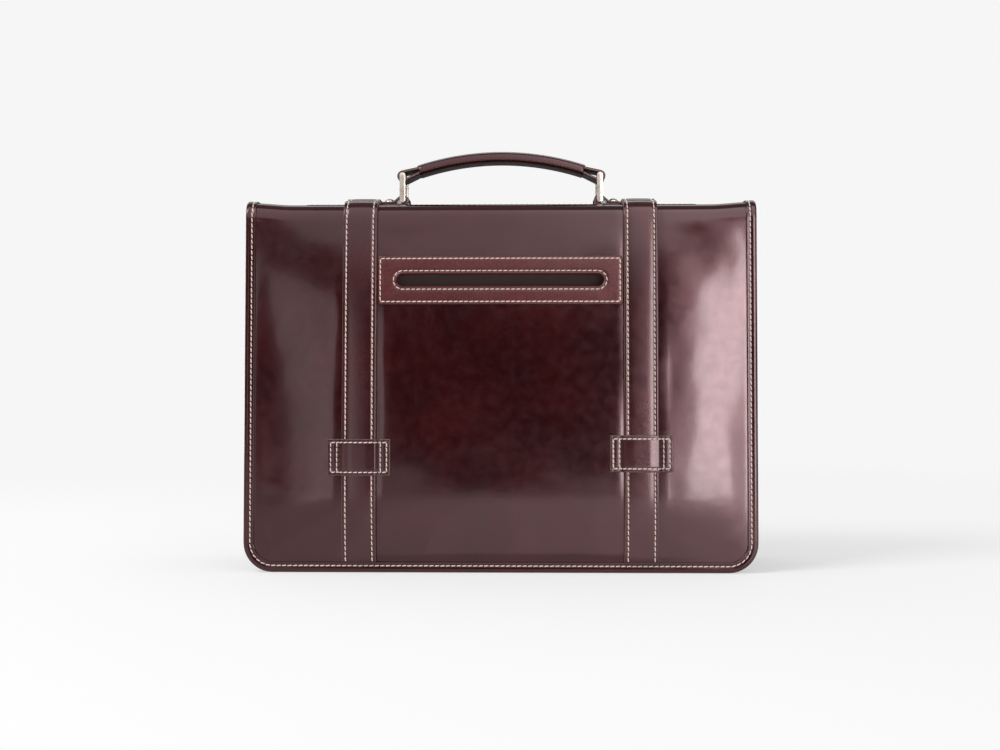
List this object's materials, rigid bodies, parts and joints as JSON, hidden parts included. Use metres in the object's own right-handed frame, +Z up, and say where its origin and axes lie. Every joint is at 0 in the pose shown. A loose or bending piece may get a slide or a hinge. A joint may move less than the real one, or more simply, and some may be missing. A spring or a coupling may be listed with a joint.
{
  "type": "leather briefcase",
  "caption": "Upright leather satchel briefcase with bound panels, a folding flap held by buckled straps on magnetic snaps, a linked arched handle and a slotted rear pocket.",
  "frame": {"origin": "centre of the footprint on the floor, under the middle of the overall box", "axes": "+X along the width, with the slotted rear face looking to -Y and the buckled flap to +Y; +Z up"},
  "size_m": [0.4, 0.1255, 0.3346],
  "materials": {
    "shell_leather": "glossy burgundy leather, fine pebble grain",
    "strap_leather": "glossy burgundy leather, painted edges",
    "binding_leather": "glossy dark burgundy binding",
    "lining": "woven cotton lining",
    "board": "fibre board",
    "metal": "satin nickel",
    "thread": "waxed cream thread"
  },
  "bodies": {
    "case": {"rear_panel": "shell_leather", "rear_binding": "binding_leather", "pocket_facing": "strap_leather", "pocket_liner": "lining", "strap_rear_left": "strap_leather", "strap_rear_right": "strap_leather", "keeper_left": "strap_leather", "keeper_right": "strap_leather", "gusset_left": "shell_leather", "gusset_right": "shell_leather", "base_panel": "shell_leather", "base_board": "board", "front_panel": "shell_leather", "front_binding": "binding_leather", "divider": "lining", "snap_sockets": "metal", "ring_tab_left": "strap_leather", "ring_tab_right": "strap_leather", "ring_rivets": "metal", "rear_fold": "shell_leather", "rear_strap_folds": "strap_leather", "rear_binding_folds": "binding_leather"},
    "top": {"top_panel": "shell_leather", "top_binding": "binding_leather", "top_board": "board", "top_strip": "strap_leather", "strap_top_left": "strap_leather", "strap_top_right": "strap_leather", "handle_tab_left": "strap_leather", "handle_tab_right": "strap_leather", "handle_rivets": "metal", "front_fold": "shell_leather", "front_strap_folds": "strap_leather", "front_binding_folds": "binding_leather"},
    "flap": {"flap_panel": "shell_leather", "flap_lining": "lining", "flap_binding": "binding_leather", "strap_front_left": "strap_leather", "strap_front_right": "strap_leather", "buckle_tab_left": "strap_leather", "buckle_tab_right": "strap_leather", "strap_loop_left": "strap_leather", "strap_loop_right": "strap_leather", "snap_studs": "metal"},
    "buckle_left": {"buckle_left": "metal"},
    "buckle_right": {"buckle_right": "metal"},
    "prong_left": {"prong_left": "metal"},
    "prong_right": {"prong_right": "metal"},
    "link_left": {"link_left": "metal"},
    "link_right": {"link_right": "metal"},
    "grip": {"handle_grip": "strap_leather", "handle_core": "board"},
    "d_ring_left": {"d_ring_left": "metal"},
    "d_ring_right": {"d_ring_right": "metal"}
  },
  "joints": [
    {"name": "top_fold", "type": "hinge", "parent": "case", "child": "top", "pos_m": [0, -0.0467, 0.285], "axis": [1, 0, 0], "range_deg": [0, 100], "deforming": ["rear_fold", "rear_strap_folds", "rear_binding_folds"]},
    {"name": "flap_fold", "type": "hinge", "parent": "top", "child": "flap", "pos_m": [0, 0.04031, 0.285], "axis": [1, 0, 0], "range_deg": [0, 170], "deforming": ["front_fold", "front_strap_folds", "front_binding_folds"]},
    {"name": "buckle_left_swing", "type": "hinge", "parent": "flap", "child": "buckle_left", "pos_m": [-0.1095, 0.05104, 0.06813], "axis": [-1, 0, 0], "range_deg": [0, 15]},
    {"name": "prong_left_swing", "type": "hinge", "parent": "buckle_left", "child": "prong_left", "pos_m": [-0.1095, 0.05104, 0.06813], "axis": [-1, 0, 0], "range_deg": [0, 25]},
    {"name": "buckle_right_swing", "type": "hinge", "parent": "flap", "child": "buckle_right", "pos_m": [0.1095, 0.05104, 0.06813], "axis": [-1, 0, 0], "range_deg": [0, 15]},
    {"name": "prong_right_swing", "type": "hinge", "parent": "buckle_right", "child": "prong_right", "pos_m": [0.1095, 0.05104, 0.06813], "axis": [-1, 0, 0], "range_deg": [0, 25]},
    {"name": "link_left_swing", "type": "hinge", "parent": "top", "child": "link_left", "pos_m": [-0.0795, -0.0032, 0.2949], "axis": [0, 1, 0], "range_deg": [-60, 60]},
    {"name": "link_right_swing", "type": "hinge", "parent": "top", "child": "link_right", "pos_m": [0.0795, -0.0032, 0.2949], "axis": [0, 1, 0], "range_deg": [-60, 60]},
    {"name": "grip_swing", "type": "hinge", "parent": "link_left", "child": "grip", "pos_m": [-0.0795, -0.0032, 0.3144], "axis": [0, 1, 0], "range_deg": [-60, 60]},
    {"name": "d_ring_left_swing", "type": "hinge", "parent": "case", "child": "d_ring_left", "pos_m": [-0.186, -0.0056, 0.264], "axis": [0, 1, 0], "range_deg": [0, 150]},
    {"name": "d_ring_right_swing", "type": "hinge", "parent": "case", "child": "d_ring_right", "pos_m": [0.186, -0.0056, 0.264], "axis": [0, -1, 0], "range_deg": [0, 150]}
  ],
  "couplings": [
    {"joint": "link_right_swing", "follows": "link_left_swing", "ratio": 1},
    {"joint": "grip_swing", "follows": "link_left_swing", "ratio": -1}
  ]
}
